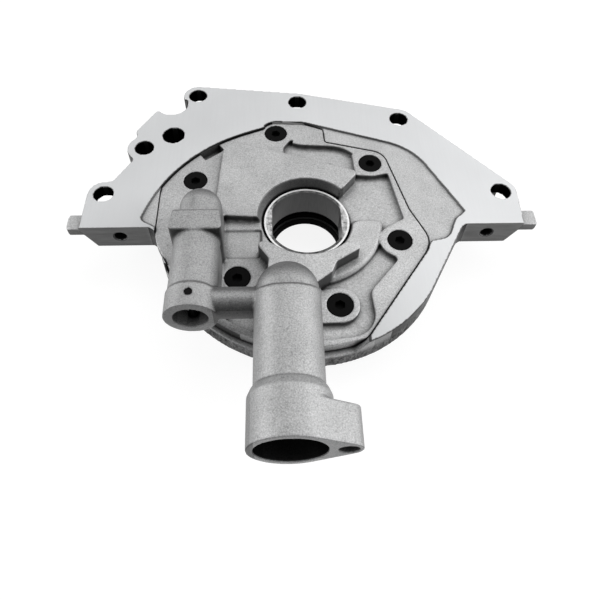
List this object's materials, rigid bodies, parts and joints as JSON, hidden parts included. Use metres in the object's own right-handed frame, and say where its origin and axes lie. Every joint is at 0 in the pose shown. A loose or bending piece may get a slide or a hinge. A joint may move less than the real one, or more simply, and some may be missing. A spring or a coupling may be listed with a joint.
{
  "type": "engine oil pump",
  "caption": "Crank-driven gerotor oil pump with a flat block face, a screwed-on cover with an inlet tube, a relief valve and a crank seal.",
  "frame": {"origin": "crank axis on the block-mounting face", "axes": "+Z out of the mounting face towards the engine block, +Y away from the inlet mouth, +X to the right seen from the block"},
  "size_m": [0.2112, 0.1966, 0.0582],
  "materials": {
    "body_casting": "die-cast, machined on the mounting faces",
    "cover_casting": "die-cast, fine shot-blasted grain",
    "rotor_steel": "ground sintered steel",
    "screw_black": "black oxide, satin",
    "plunger_steel": "ground",
    "spring_steel": "drawn wire",
    "pin_steel": "dark spring steel",
    "seal_steel": "pressed sheet",
    "seal_rubber": "matt black"
  },
  "bodies": {
    "housing": {"pump_body": "body_casting", "pump_cover": "cover_casting", "cover_screw_1": "screw_black", "cover_screw_2": "screw_black", "cover_screw_3": "screw_black", "cover_screw_4": "screw_black", "cover_screw_5": "screw_black", "cover_screw_6": "screw_black", "relief_spring": "spring_steel", "relief_spring_seat": "plunger_steel", "relief_retaining_pin": "pin_steel", "crank_seal_case": "seal_steel", "crank_seal_lip": "seal_rubber", "crank_seal_garter_spring": "spring_steel", "cover_dowel_1": "plunger_steel", "cover_dowel_2": "plunger_steel", "gallery_plug": "seal_steel"},
    "inner_rotor": {"inner_rotor": "rotor_steel"},
    "outer_rotor": {"outer_rotor": "rotor_steel"},
    "relief_plunger": {"relief_plunger": "plunger_steel"}
  },
  "joints": [
    {"name": "outer_rotor_spin", "type": "hinge", "parent": "housing", "child": "outer_rotor", "pos_m": [-0.00083, 0.00309, 0], "axis": [0, 0, 1], "continuous": true},
    {"name": "inner_rotor_spin", "type": "hinge", "parent": "housing", "child": "inner_rotor", "pos_m": [0, 0, 0], "axis": [0, 0, 1], "continuous": true},
    {"name": "relief_plunger_slide", "type": "slide", "parent": "housing", "child": "relief_plunger", "axis": [0, -1, 0], "range_m": [0, 0.006], "stiffness_N_per_m": 6000, "springref_m": -0.008, "deforming": ["relief_spring"]}
  ],
  "couplings": [
    {"joint": "inner_rotor_spin", "follows": "outer_rotor_spin", "ratio": 1.125}
  ]
}
